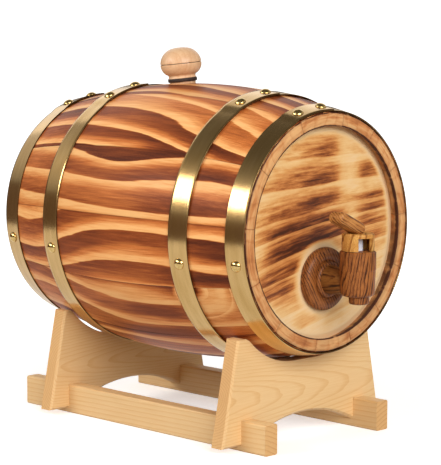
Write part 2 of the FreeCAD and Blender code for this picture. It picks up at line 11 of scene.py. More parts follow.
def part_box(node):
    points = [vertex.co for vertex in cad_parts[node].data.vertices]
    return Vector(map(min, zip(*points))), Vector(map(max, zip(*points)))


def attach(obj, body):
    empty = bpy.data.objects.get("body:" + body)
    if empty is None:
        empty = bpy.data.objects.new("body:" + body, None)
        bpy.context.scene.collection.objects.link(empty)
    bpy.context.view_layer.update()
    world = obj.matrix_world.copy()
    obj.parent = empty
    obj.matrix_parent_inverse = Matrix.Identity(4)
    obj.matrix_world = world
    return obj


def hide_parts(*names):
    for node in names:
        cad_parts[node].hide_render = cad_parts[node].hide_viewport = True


# Looks of a small table wine barrel on its stand, in metres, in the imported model's own frame:
# +Y runs along the barrel from the tap to its plain end, +Z is up. Angles round the barrel are in
# degrees from the top towards +X.

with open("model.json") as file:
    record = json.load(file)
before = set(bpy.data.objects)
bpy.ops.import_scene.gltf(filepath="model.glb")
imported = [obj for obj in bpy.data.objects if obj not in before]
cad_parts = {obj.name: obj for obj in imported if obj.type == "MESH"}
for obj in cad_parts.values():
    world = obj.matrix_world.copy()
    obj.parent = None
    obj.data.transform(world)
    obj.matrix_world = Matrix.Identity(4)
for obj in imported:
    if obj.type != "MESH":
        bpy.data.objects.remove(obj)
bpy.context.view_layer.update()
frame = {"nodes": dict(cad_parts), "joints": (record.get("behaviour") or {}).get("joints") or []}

MM = 0.001


# ---- Small sums

def spaced(first, last, steps):
    return [first + (last - first) * i / steps for i in range(steps + 1)]


def clamped(value):
    return min(max(value, 0), 1)


def wrapped(angle):
    """The angle moved by whole turns to between -180 and 180 degrees."""
    return (angle + 180) % 360 - 180


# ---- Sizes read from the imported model

def middle(node):
    low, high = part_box(node)
    return (low + high) / 2


STAVES = sorted(n for n in frame["nodes"] if n.startswith("stave_"))
HOOPS = ("front_chime", "front_quarter", "rear_quarter", "rear_chime")
JOINTS = {joint["name"]: joint for joint in frame["joints"]}

stave_low, stave_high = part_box("stave_08")
HALF_LENGTH = (stave_high.y - stave_low.y) / 2
BARREL = Vector((0, middle("stave_08").y, middle("hoop_front_chime").z))
TAP_AXIS = Vector(JOINTS["tap_turn"]["pos_m"])
STEM = middle("tap_rosette")


def polar(point):
    """(angle, radius, distance along) of a point about the barrel's axis."""
    away = Vector(point) - BARREL
    return math.degrees(math.atan2(away.x, away.z)), math.hypot(away.x, away.z), away.y


def on_barrel(angle, radius, along):
    turned = math.radians(angle)
    return BARREL + Vector((radius * math.sin(turned), along, radius * math.cos(turned)))


def corners_of(node):
    return [v.co for v in frame["nodes"][node].data.vertices]


def node_polar(node):
    return [polar(corner) for corner in corners_of(node)]


def radii_at(node, along):
    """Least and largest radius of a node's corners in the plane at this distance along."""
    found = [r for _, r, y in node_polar(node) if abs(y - along) < 0.1 * MM]
    return min(found), max(found)


def angle_span(node):
    """First and last angle that a node covers, counted on from its first angle."""
    angles = [a for a, _, _ in node_polar(node)]
    if max(angles) - min(angles) > 180:
        angles = [a % 360 for a in angles]
    return min(angles), max(angles)


BELLY_RADIUS = max(r for _, r, _ in node_polar("stave_08"))
CHIME_RADIUS, END_RADIUS = radii_at("stave_08", -HALF_LENGTH)
BELLY_RISE = BELLY_RADIUS - END_RADIUS
BEND_RADIUS = (HALF_LENGTH**2 + BELLY_RISE**2) / (2 * BELLY_RISE)
STAVE_THICKNESS = 12.5 * MM
head_low, head_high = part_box("head_front_middle")
HEAD_THICKNESS = head_high.y - head_low.y
HEAD_FACE = BARREL.y - head_low.y
HEAD_RADIUS = head_high.x
HEAD_FACE_RADIUS = radii_at("head_front_middle", -HEAD_FACE)[1]
HEAD_BACK_RADIUS = radii_at("head_front_middle", HEAD_THICKNESS - HEAD_FACE)[1]
HEAD_BEVEL = 3.0 * MM
HEAD_TONGUE = 3.5 * MM
CHIME_DEPTH = HALF_LENGTH - HEAD_FACE


def stave_radius(along):
    return BELLY_RADIUS - BEND_RADIUS + math.sqrt(BEND_RADIUS**2 - along**2)


# ---- Mesh helpers

def loft(rings, closed=False):
    """Points and faces of a skin over rings, each a closed loop with the same number of points."""
    size = len(rings[0])
    points = [p for ring in rings for p in ring]
    faces = []
    for i in range(len(rings) if closed else len(rings) - 1):
        here = i * size
        there = (i + 1) % len(rings) * size
        for j in range(size):
            k = (j + 1) % size
            faces.append((here + j, here + k, there + k, there + j))
    if not closed:
        faces.append(tuple(range(size)))
        faces.append(tuple(range(len(points) - size, len(points))))
    return points, faces


def turn(profile, segments):
    """Points and faces of a profile of (radius, height) turned about Z; it starts and ends at
    radius 0."""
    points = []
    rows = []
    for radius, height in profile:
        count = segments if radius > 1e-9 else 1
        rows.append(range(len(points), len(points) + count))
        for i in range(count):
            angle = 2 * math.pi * i / segments
            points.append((radius * math.cos(angle), radius * math.sin(angle), height))
    faces = []
    for low, high in zip(rows, rows[1:]):
        for i in range(segments):
            k = (i + 1) % segments
            corners = [row[j % len(row)] for row, j in ((low, i), (low, k), (high, k), (high, i))]
            faces.append(tuple(dict.fromkeys(corners)))
    return points, faces


def arc(start, via, end, steps):
    """Points of the circular arc from start through via to end, as (a, b) pairs."""
    a, b, c = (complex(*point) for point in (start, via, end))
    skew = (c - a) / (b - a)
    centre = a + (b - a) * (skew - abs(skew) ** 2) / (2j * skew.imag)
    mid, sweep = (cmath.phase((p - centre) / (a - centre)) % (2 * math.pi) for p in (b, c))
    if mid > sweep:
        sweep -= 2 * math.pi
    points = [centre + (a - centre) * cmath.rect(1, sweep * i / steps) for i in range(steps + 1)]
    return [(point.real, point.imag) for point in points]


def linked(name, data):
    obj = bpy.data.objects.new(name, data)
    bpy.context.scene.collection.objects.link(obj)
    return obj


def new_object(name, points, faces, place=Matrix.Identity(4)):
    mesh = bpy.data.meshes.new(name)
    mesh.from_pydata([place @ Vector(p) for p in points], [], faces)
    shaped = bmesh.new()
    shaped.from_mesh(mesh)
    bmesh.ops.recalc_face_normals(shaped, faces=shaped.faces)
    shaped.to_mesh(mesh)
    shaped.free()
    return linked(name, mesh)


def set_materials(obj, *materials):
    obj.data.materials.clear()
    for material in materials:
        obj.data.materials.append(material)


def drill(obj, cutter):
    """Cut one object out of another and drop the cutter."""
    cut = obj.modifiers.new("cut", "BOOLEAN")
    cut.operation = "DIFFERENCE"
    cut.solver = "EXACT"
    cut.object = cutter
    bpy.context.view_layer.update()
    drilled = obj.evaluated_get(bpy.context.evaluated_depsgraph_get())
    mesh = bpy.data.meshes.new_from_object(drilled)
    obj.modifiers.clear()
    obj.data = mesh
    bpy.data.objects.remove(cutter)


def point_values(obj, **named):
    """Store a number or a vector for each corner under each name, for the material to read. They
    come from a list, or from a function of the corner's place."""
    for name, values in named.items():
        if callable(values):
            values = [values(v.co) for v in obj.data.vertices]
        if isinstance(values[0], tuple):
            attribute = obj.data.attributes.new(name, "FLOAT_VECTOR", "POINT")
            attribute.data.foreach_set("vector", [part for value in values for part in value])
        else:
            attribute = obj.data.attributes.new(name, "FLOAT", "POINT")
            attribute.data.foreach_set("value", values)


def stands_for(obj, node, body, sharp_angle):
    """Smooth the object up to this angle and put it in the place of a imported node."""
    obj.data.polygons.foreach_set("use_smooth", [True] * len(obj.data.polygons))
    obj.data.set_sharp_from_angle(angle=math.radians(sharp_angle))
    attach(obj, body)
    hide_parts(node)


# ---- Material helpers

class Shader:
    """The nodes of one material or world, built from short calls. Values may be numbers or
    sockets, and sizes are in metres."""

    def __init__(self, owner):
        owner.use_nodes = True
        self.owner = owner
        self.tree = owner.node_tree
        self.tree.nodes.clear()

    def add(self, kind, inputs=(), **settings):
        node = self.tree.nodes.new(kind)
        for key, value in settings.items():
            setattr(node, key, value)
        for socket, value in dict(inputs).items():
            if isinstance(value, bpy.types.NodeSocket):
                self.tree.links.new(value, node.inputs[socket])
            else:
                node.inputs[socket].default_value = value
        return node

    def math(self, operation, a, b=0.0, clamp=False):
        return self.add("ShaderNodeMath", {0: a, 1: b}, operation=operation,
                        use_clamp=clamp).outputs[0]

    def value(self, name):
        return self.add("ShaderNodeAttribute", attribute_name=name).outputs["Fac"]

    def vector(self, name):
        return self.add("ShaderNodeAttribute", attribute_name=name).outputs["Vector"]

    def place(self, kind="Object"):
        """Where the point is on the piece, in metres, moving with the piece."""
        return self.add("ShaderNodeTexCoord").outputs[kind]

    def split(self, vector):
        return self.add("ShaderNodeSeparateXYZ", {0: vector}).outputs

    def join(self, x, y, z):
        return self.add("ShaderNodeCombineXYZ", {0: x, 1: y, 2: z}).outputs[0]

    def turned(self, vector, angles, centre):
        """The vector about centre, turned back by XYZ angles in degrees."""
        away = self.add("ShaderNodeVectorMath", {0: vector, 1: tuple(centre)},
                        operation="SUBTRACT")
        rotation = tuple(math.radians(-a) for a in angles)
        mapping = self.add("ShaderNodeMapping", {0: away.outputs[0], "Rotation": rotation})
        return mapping.outputs[0]

    def noise(self, vector, sizes, detail=3, roughness=0.5, distortion=0.0):
        """Smooth noise from 0 to 1 with features of about these sizes, or this one size."""
        factors = tuple(1 / size for size in (sizes if isinstance(sizes, tuple) else 3 * (sizes,)))
        scaled = self.add("ShaderNodeVectorMath", {0: vector, 1: factors}, operation="MULTIPLY")
        inputs = {"Vector": scaled.outputs[0], "Scale": 1.0, "Detail": detail,
                  "Roughness": roughness, "Distortion": distortion}
        return self.add("ShaderNodeTexNoise", inputs).outputs["Fac"]

    def swing(self, value, amount, centre=0.5):
        """How far the value is from centre, times amount."""
        return self.product(self.math("SUBTRACT", value, centre), amount)

    def wave(self, vector, sizes, amount, detail=2):
        """Noise centred on 0 that swings by about amount each way."""
        return self.swing(self.noise(vector, sizes, detail), 3 * amount)

    def total(self, first, *others):
        for other in others:
            first = self.math("ADD", first, other)
        return first

    def product(self, first, *others):
        for other in others:
            first = self.math("MULTIPLY", first, other)
        return first

    def span(self, value, low, high, out_low=0.0, out_high=1.0, ease="LINEAR"):
        """Map low..high to out_low..out_high and clamp."""
        inputs = {0: value, 1: low, 2: high, 3: out_low, 4: out_high}
        return self.add("ShaderNodeMapRange", inputs, interpolation_type=ease).outputs[0]

    def ramp(self, value, stops, interpolation="LINEAR"):
        """Colour, or grey level, from stops of (position, colour or grey)."""
        node = self.add("ShaderNodeValToRGB", {0: value})
        node.color_ramp.interpolation = interpolation
        elements = node.color_ramp.elements
        while len(elements) > 1:
            elements.remove(elements[-1])
        for i, (position, colour) in enumerate(stops):
            element = elements[0] if i == 0 else elements.new(position)
            element.position = position
            element.color = (*(colour if isinstance(colour, tuple) else 3 * (colour,)), 1)
        return node.outputs["Color"]

    def in_rings(self, rings, *stops):
        """Grey level that goes through stops of (share, level) within each growth ring."""
        return self.ramp(self.math("FRACT", rings), stops, "EASE")

    def shades(self, value, *stops):
        """Colour from stops of (position, red, green, blue) in screen values."""
        return self.ramp(value, [(stop[0], srgb(*stop[1:])) for stop in stops])

    def mix(self, share, first, second, blend="MIX"):
        """Colour mix; a plain colour may be given as a tuple."""
        first, second = ((*c, 1) if isinstance(c, tuple) else c for c in (first, second))
        return self.add("ShaderNodeMix", {"Factor": share, 6: first, 7: second},
                        data_type="RGBA", blend_type=blend, clamp_factor=True).outputs[2]

    def bump(self, height, depth):
        return self.add("ShaderNodeBump", {"Height": height, "Distance": depth,
                                           "Strength": 1.0}).outputs[0]

    def finish(self, colour, roughness, normal=None, **more):
        """Principled surface; further sockets are named with underscores for spaces."""
        inputs = {"Base Color": colour, "Roughness": roughness}
        if normal is not None:
            inputs["Normal"] = normal
        inputs.update({key.replace("_", " "): value for key, value in more.items()})
        surface = self.add("ShaderNodeBsdfPrincipled", inputs)
        self.add("ShaderNodeOutputMaterial", {0: surface.outputs[0]})
        return self.owner


def new_shader(name):
    return Shader(bpy.data.materials.new(name))


def srgb(red, green, blue):
    """Linear colour of a colour given as 0 to 255 screen values."""
    def linear(value):
        share = value / 255
        return share / 12.92 if share < 0.04045 else ((share + 0.055) / 1.055) ** 2.4
    return linear(red), linear(green), linear(blue)


# ---- Wood

def stave_wood():
    """Torched and oiled softwood: flame bands that follow the growth rings along each stave, dark
    right after each ring's sharp start and paler on. Some rings took the flame better."""
    s = new_shader("torched_stave")
    board = s.vector("board")
    rings = s.total(s.value("rings"), s.wave(board, (0.030, 0.26, 0.05), 0.20, detail=1),
                    s.wave(board, (0.010, 0.10, 0.02), 0.07, detail=1),
                    s.wave(board, (0.0016, 0.03, 0.004), 0.022, detail=1))
    bands = s.in_rings(rings, (0.0, 0.03), (0.055, 0.95), (0.14, 1.0), (0.48, 0.86), (0.70, 0.48),
                       (0.87, 0.10), (1.0, 0.0))
    luck = s.add("ShaderNodeTexWhiteNoise", {"Vector": s.join(s.value("stave_number"), 0.0, 0.0),
                                             "W": s.math("FLOOR", rings)},
                 noise_dimensions="4D").outputs["Value"]
    burn = s.product(bands, s.span(luck, 0.0, 1.0, 0.45, 1.0), s.value("torched"))
    torch = s.span(s.noise(board, (0.05, 0.12, 0.1)), 0.3, 0.7, 0.78, 1.1)
    burn = s.math("MULTIPLY", burn, torch, clamp=True)
    fibre = s.noise(board, (0.0008, 0.028, 0.002), detail=4, roughness=0.65)
    streak = s.noise(board, (0.0032, 0.07, 0.01), detail=4, roughness=0.62)
    burn = s.total(burn, s.swing(streak, 0.5), s.swing(fibre, 0.42))
    colour = s.shades(burn, (0.0, 250, 190, 124), (0.13, 240, 166, 98), (0.35, 204, 117, 58),
                      (0.60, 144, 71, 34), (0.84, 98, 45, 24), (1.0, 70, 33, 21))
    colour = s.mix(s.product(s.value("seam"), 0.28), colour, srgb(58, 28, 18))
    tone = s.span(s.value("tone"), -1.0, 1.0, 0.93, 1.05)
    colour = s.mix(1.0, colour, s.join(tone, tone, tone), "MULTIPLY")
    height = s.total(s.product(burn, -0.6), s.product(fibre, 0.5))
    return s.finish(colour, s.span(burn, 0.0, 1.0, 0.36, 0.46), s.bump(height, 0.12 * MM),
                    Coat_Weight=0.03, Coat_Roughness=0.2, Specular_IOR_Level=0.10)


def stave_end_wood():
    """Sawn ends of the staves and the chime's inner wall: unburnt tan, charred in places, with
    painted shade along the rim's edges and in the crease at the head.
    """
    s = new_shader("stave_end")
    board = s.vector("board")
    rings = s.total(s.value("rings"), s.wave(board, 0.02, 0.25), s.wave(board, 0.004, 0.07))
    line = s.in_rings(s.product(rings, 1.5), (0.0, 0.0), (0.6, 0.08), (0.9, 0.8), (1.0, 0.0))
    blotch = s.span(s.noise(board, (0.026, 0.05, 0.006), detail=5, distortion=0.5), 0.45, 0.76)
    streak = s.span(s.noise(board, (0.018, 0.05, 0.0016), detail=4, roughness=0.6), 0.42, 0.72)
    shade = s.total(s.product(line, 0.18), s.product(blotch, 0.55), s.product(streak, 0.36))
    colour = s.shades(shade, (0.0, 232, 180, 122), (0.4, 206, 136, 80), (1.0, 138, 68, 34))
    patchy = s.span(s.noise(board, (0.008, 0.02, 0.008)), 0.22, 0.55)
    # char is real char plus painted shade: the dark lines at the rim's edges, the crease at the
    # head and the deep chime wall.
    colour = s.mix(s.product(s.value("char"), patchy), colour, srgb(72, 34, 20))
    colour = s.mix(s.product(s.value("seam"), 0.34), colour, srgb(92, 46, 26))
    pores = s.noise(board, 0.0007, detail=2)
    return s.finish(colour, 0.6, s.bump(pores, 0.15 * MM), Coat_Weight=0.03,
                    Coat_Roughness=0.4, Specular_IOR_Level=0.25)


# Flame bands of the staves that face the front left: for each, the angle of one band's sharp edge
# at the belly, the step to the next band (below 0 where the bands darken downwards), how far the
# bands climb towards +Y over the barrel's length, how far the belly lifts them, in degrees, and
# their bends, each (along, angle, half length, half width, shift) in millimetres and degrees.
STAVE_BANDS = {
    "stave_01": (-19.0, -12.0, 9.0, 4.0, ((-60, -10, 50, 9, -3),)),
    "stave_13": (-35.5, -10.8, 20.0, 5.0, ((-100, -42, 45, 12, -3), (0, -50, 34, 3, 2.0))),
    "stave_12": (-56.5, 12.8, 3.0, -4.0, ((-2, -60, 40, 9, -6.5), (-95, -60, 30, 9, 2))),
    "stave_11": (-88.8, -12.6, 0.0, 3.0, ((95, -95, 62, 26, -13),)),
    "stave_10": (-120.5, -13.8, 0.0, 0.0, ((95, -127, 62, 30, 13),)),
}
# Where the torch passed lightly: (along, angle, half length, half width, how much burn it spares),
# and below 0 where it lingered.
TORCH_PASSES = (
    (-100, -122, 36, 9, 0.75), (-15, -115.5, 52, 4.5, 0.85), (-100, -27, 40, 9, 0.55),
    (-10, -53, 22, 1.5, 0.6), (0, -26, 60, 7, 0.35), (60, -74, 60, 5, 0.3),
    (110, -60, 25, 30, 0.25), (-100, -97, 60, 12, -0.38), (10, -96, 60, 7, -0.1),
    (-60, -126, 70, 4, -0.30), (-20, -140, 90, 5, -0.55), (-105, -63, 30, 4, -0.2),
    (70, -105, 50, 9, -0.1), (-10, -12, 90, 14, 0.30), (40, -42, 90, 12, 0.15),
    (-10, -78, 50, 5, 0.15), (-98, -109.5, 42, 3.2, -0.5))
# A knot under the front hoops: its stave, its middle (along, angle), and in millimetres its core,
# its rings' width and the distances over which they give way to the bands. The rings are stretched
# towards the tap end.
KNOT_STAVE = "stave_10"
KNOT_AT = (-84, -113.5)
KNOT_CORE, KNOT_RING, KNOT_EASE, KNOT_REACH = 4.5, 7.5, 16, 26
KNOT_STRETCH_FRONT, KNOT_STRETCH_REAR = 1.5, 0.7
KNOT_PALE, KNOT_DARK = 0.66, 1.4

# A stave's rounded arrises at its ends, its eased long edges, how far it may sit too low, the
# dark line at its joints, and the degrees between two of the mesh's lengthwise lines.
STAVE_CORNER, STAVE_EASE, STAVE_SUNK, SEAM_WIDTH = 0.7 * MM, 0.3 * MM, 0.12 * MM, 0.6 * MM
STAVE_ANGLE_STEP = 1.2


def hill(along, angle, middle_along, middle_angle, half_length, half_width):
    """A smooth hill of height 1 on the barrel's skin."""
    a = (along / MM - middle_along) / half_length
    b = (angle - middle_angle) / half_width
    return math.exp(-a * a - b * b)


def knot_at(node, angle, radius, along):
    """(distance, share) of the knot at a point: how many millimetres off its middle the point is,
    as if the rings were round, and how far its rings replace the bands."""
    up = math.radians(angle - KNOT_AT[1]) * radius / MM
    off = along / MM - KNOT_AT[0]
    distance = math.hypot(off / (KNOT_STRETCH_REAR if off > 0 else KNOT_STRETCH_FRONT), up)
    share = clamped((KNOT_REACH - distance) / (KNOT_REACH - KNOT_EASE))
    return distance, share if node == KNOT_STAVE else 0.0


def band_values(node):
    """A stave's entry in STAVE_BANDS, or one made up in the same manner."""
    luck = random.Random(node)
    low, high = angle_span(node)
    side = luck.choice((-1, 1))
    edge, step = luck.uniform(low, high), side * luck.uniform(10, 14)
    bends = [(luck.uniform(-110, 110), luck.uniform(low, high), luck.uniform(28, 60),
              luck.uniform(8, 20), luck.uniform(-6, 6)) for _ in range(3)]
    made_up = (edge, step, luck.uniform(-12, 12), -side * luck.uniform(1, 5), bends)
    return STAVE_BANDS.get(node, made_up)


def stave_loop(inset):
    """Closed lengthwise outline of a stave as (along, radius), drawn in by inset at its edges."""
    end = HALF_LENGTH - inset
    inner = CHIME_RADIUS + inset
    corner = STAVE_CORNER
    lip = (HEAD_FACE - 0.6 * HEAD_BEVEL,
           HEAD_FACE_RADIUS + 0.6 * (HEAD_RADIUS - HEAD_FACE_RADIUS))
    groove = HEAD_FACE - HEAD_BEVEL
    heel = HEAD_FACE - HEAD_THICKNESS
    outer_end = stave_radius(HALF_LENGTH) - inset
    outside = [(y, stave_radius(y) - inset) for y in spaced(0, HALF_LENGTH - corner, 34)]
    rim = [(end - 0.3 * corner, outer_end - 0.3 * corner), (end, outer_end - corner)]
    rim += [(end, r) for r in spaced(outer_end - corner, inner + 2 * corner, 5)[1:]]
    rim += [(end, inner + corner), (end - 0.3 * corner, inner + 0.3 * corner)]
    wall = [(end + (lip[0] - end) * t, inner + (lip[1] - CHIME_RADIUS) * t)
            for t in (0.1, 0.4, 0.7, 1.0)]
    tongue = [(groove, HEAD_RADIUS), (groove - HEAD_TONGUE, HEAD_RADIUS), (heel, HEAD_BACK_RADIUS)]
    inner_arc = arc((0, BELLY_RADIUS - STAVE_THICKNESS),
                    (heel / 2, stave_radius(heel / 2) - STAVE_THICKNESS),
                    (heel, HEAD_BACK_RADIUS), 20)
    half = outside + rim + wall + tongue + inner_arc[-2::-1]
    return half + [(-y, r) for y, r in reversed(half[1:-1])]


def make_stave(node, number, face_wood, end_wood):
    low, high = angle_span(node)
    centre = (low + high) / 2
    sliver = math.degrees(STAVE_EASE / BELLY_RADIUS)
    steps = max(2, round((high - low) / STAVE_ANGLE_STEP))
    angles = spaced(low + 3 * sliver, high - 3 * sliver, steps)
    sections = [(a, 0.0) for a in (low + sliver, *angles, high - sliver)]
    sections = [(low, STAVE_EASE), *sections, (high, STAVE_EASE)]
    flush = random.Random(node + "height").uniform(0.0, STAVE_SUNK)
    obj = new_object(node + "_wood", *loft([[on_barrel(angle, r - flush, y)
                                             for y, r in stave_loop(inset)]
                                            for angle, inset in sections]))
    if node == "stave_01":
        drill(obj, bung_hole_cutter())
    set_materials(obj, face_wood, end_wood)
    for polygon in obj.data.polygons:
        _, radius, along = polar(polygon.center)
        is_end = abs(polygon.normal.y) > 0.6 and abs(along) > HALF_LENGTH - 1 * MM
        is_wall = abs(along) > HEAD_FACE - HEAD_BEVEL and radius < END_RADIUS - 5 * MM
        polygon.material_index = 1 if is_end or is_wall else 0

    edge, step, climb, lift, bends = band_values(node)

    def near(angle):
        return centre + wrapped(angle - centre)

    def rings_at(point):
        angle, radius, along = polar(point)
        angle = near(angle)
        drop = (BELLY_RADIUS - radius) / BELLY_RISE
        home = edge + climb * along / (2 * HALF_LENGTH) - lift * drop
        home += sum(bend[-1] * hill(along, angle, *bend[:-1]) for bend in bends)
        distance, share = knot_at(node, angle, radius, along)
        return 20 + (1 - share) * (angle - home) / step + share * distance / KNOT_RING

    def torched_at(point):
        angle, radius, along = polar(point)
        distance, share = knot_at(node, angle, radius, along)
        spared = share * (KNOT_PALE - KNOT_DARK * math.exp(-(distance / KNOT_CORE) ** 2))
        passes = (1 - share * hill(along, angle, *place) for *place, share in TORCH_PASSES)
        return (1 - spared) * math.prod(passes)

    def seam_at(point):
        angle, radius, _ = polar(point)
        gap = math.radians(min(near(angle) - low, high - near(angle))) * radius
        return clamped(1.3 - gap / SEAM_WIDTH)

    def board_at(point):
        """Across, along and depth of the board, shifted so that no two staves have one grain."""
        angle, radius, along = polar(point)
        across = math.radians(wrapped(angle - centre)) * radius
        return across + number * 0.37, along + number * 0.91, radius

    def char_at(point):
        """How dark the sawn end and the chime's wall are made: painted shade on the arrises, for
        the gap under the hoop and the corner into the chime, and in the crease at the head; char on
        the wall, most low on the right, deepening towards the head as painted shade; and darker
        towards the bottom."""
        angle, radius, along = polar(point)
        # Painted shade: the outer arris's dark line for the gap under the hoop, the inner one for
        # the corner into the chime.
        outer_edge_shade = clamped((radius - END_RADIUS + 0.9 * MM) / (0.5 * MM))
        inner_corner_shade = clamped((1.3 * MM - abs(radius - CHIME_RADIUS)) / (0.5 * MM))
        wall = clamped((END_RADIUS - 5 * MM - radius) / (4 * MM))
        low_right = math.exp(-((angle - 118) / 34) ** 2)
        deep = clamped((HALF_LENGTH - abs(along)) / CHIME_DEPTH)
        # Painted shade in the crease where the chime wall meets the head.
        crease_shade = max(deep - 0.75, 0) / 0.25
        # Darker towards the bottom; the wall's char also deepens towards the head as painted shade.
        bottom = math.exp(-((angle % 360 - 180) / 60) ** 2)
        return max(1.5 * outer_edge_shade, 2.2 * inner_corner_shade, 0.8 * crease_shade * wall, 0.2 * bottom,
                   wall * (0.35 + 0.9 * low_right) * (0.5 + 0.5 * deep))

    tone = random.Random(node + "tone").uniform(-1, 1)
    point_values(obj, rings=rings_at, board=board_at, char=char_at, torched=torched_at,
                 seam=seam_at, stave_number=lambda point: float(number), tone=lambda point: tone)
    stands_for(obj, node, "barrel", 35)


# ---- Heads

# Torch strokes on the front head, from its middle: (across, up, half length, half width, strength)
# in millimetres, each lying along the boards. The first is the whole head's light scorching.
TORCH_STROKES = (
    (-8, 16, 78, 66, 0.17), (-30, 40, 40, 34, 0.08), (-2, 62, 22, 11, 0.25), (5, 67, 12, 7, 0.12),
    (-5, 45, 29, 11, 0.29), (2, 40, 22, 6.0, 0.27), (-32, 38, 24, 8.0, 0.14),
    (54, 46, 13, 11, 0.27), (54, 42, 12, 5.0, 0.22), (-18, 22, 40, 9, 0.38),
    (-2, 25, 20, 6.0, 0.22), (58, 20, 17, 7.0, 0.48), (30, 20, 14, 5.0, 0.14),
    (-26, 8, 44, 6.0, 0.62), (-18, -3, 42, 10, 0.60), (6, 0, 18, 8, 0.62), (-34, -8, 24, 8, 0.58),
    (-44, -26, 26, 13, 0.44), (-40, -20, 20, 8, 0.26), (58, 1, 17, 14, 0.36),
    (52, 8, 10, 7, 0.26), (-52, -40, 18, 10, 0.46), (-34, -48, 18, 8, 0.34),
    (-14, -62, 16, 7, 0.32), (40, -52, 14, 7, 0.30), (14, -64, 12, 6, 0.26))
HEAD_TURNS = {"front": -10.0, "rear": 6.0}
# The grain isn't quite parallel to the boards' edges: it leans by the first angle above
# HEAD_LEAN_FROM and by the second below the height that is HEAD_LEAN_OVER lower.
HEAD_LEANS = (2.5, 14.0)
HEAD_LEAN_FROM = 34 * MM
HEAD_LEAN_OVER = 62 * MM
# Heights in millimetres, across the grain, where each dark growth band of a head starts.
HEAD_BANDS = {"front": (-94, -78, -66, -50, -34, -22, -8, 6, 16, 35, 54, 76, 96)}
HEAD_BANDS["rear"] = tuple(-height for height in reversed(HEAD_BANDS["front"]))
# How far each board's grain pattern is moved, in metres of pattern.
BOARD_SHIFTS = {"bottom": 0.3, "middle": 0.9, "top": 1.7}
REAR_SHIFT = 3
# The torch kept off the tap's rosette, and partly off an upright bar right of the middle, given
# like a stroke.
TAP_CLEAN_RADIUS, TAP_CLEAN_EASE = 25 * MM, 6 * MM
PALE_BAR = (27, 50, 9, 34, 0.42)


def band_at(height, bands):
    """Band number and how far through that band a height is, as one number."""
    for number, (low, high) in enumerate(zip(bands, bands[1:])):
        if height < high * MM:
            break
    return number + (height / MM - low) / (high - low)


def torch_at(across, up, turned):
    """How hard the flame hit a point of a head, 0 to 1."""
    cos, sin = math.cos(math.radians(turned)), math.sin(math.radians(turned))
    spared = 1.0
    for x, z, half_length, half_width, strength in TORCH_STROKES:
        dx, dz = across - x * MM, up - z * MM
        along = (dx * cos - dz * sin) / (half_length * MM)
        over = (dx * sin + dz * cos) / (half_width * MM)
        spared *= 1 - strength * math.exp(-along**4 - abs(over) ** 3)
    return 1 - spared


def head_wood():
    """Pale head boards with torch strokes broken up by the grain."""
    s = new_shader("torched_head")
    board = s.vector("board")
    rings = s.total(s.value("rings"), s.wave(board, (0.03, 0.12, 0.05), 0.14),
                    s.wave(board, (0.006, 0.04, 0.02), 0.045),
                    s.wave(board, (0.0015, 0.02, 0.02), 0.02))
    grain = s.in_rings(rings, (0.0, 0.0), (0.07, 0.9), (0.2, 1.0), (0.5, 0.72), (0.8, 0.35),
                       (0.93, 0.02), (1.0, 0.0))
    fibre = s.noise(board, (0.0009, 0.03, 0.002), roughness=0.6)
    streak = s.noise(board, (0.0022, 0.03, 0.02), detail=4, roughness=0.6)
    ragged = s.noise(board, (0.005, 0.016, 0.02), detail=5, roughness=0.7)
    torch = s.total(s.value("torch"), s.swing(ragged, 0.62))
    clean = s.value("clean")
    burn = s.total(s.product(torch, s.span(grain, 0.0, 1.0, 0.55, 1.2),
                             s.span(streak, 0.3, 0.7, 0.62, 1.3), clean),
                   s.swing(fibre, 0.12),
                   s.product(grain, clean, s.span(streak, 0.35, 0.65, 0.02, 0.12)))
    colour = s.shades(burn, (0.0, 244, 210, 162), (0.12, 240, 196, 134), (0.28, 226, 164, 96),
                      (0.46, 198, 124, 64), (0.64, 152, 84, 40), (0.84, 108, 54, 28),
                      (1.0, 72, 36, 20))
    height = s.total(fibre, s.product(burn, -0.5))
    return s.finish(colour, 0.42, s.bump(height, 0.10 * MM), Coat_Weight=0.15,
                    Coat_Roughness=0.25, Specular_IOR_Level=0.3)


def head_mesh(fineness):
    """A whole head turned about Z, with its outer face at z = 0."""
    face = [(r, 0.0) for r in spaced(0, HEAD_FACE_RADIUS - 0.4 * MM, fineness)]
    rim = [(HEAD_FACE_RADIUS, -0.1 * MM), (HEAD_RADIUS, -HEAD_BEVEL),
           (HEAD_RADIUS, -HEAD_BEVEL - HEAD_TONGUE), (HEAD_BACK_RADIUS, -HEAD_THICKNESS),
           (0, -HEAD_THICKNESS)]
    return turn(face + rim, 4 * fineness)


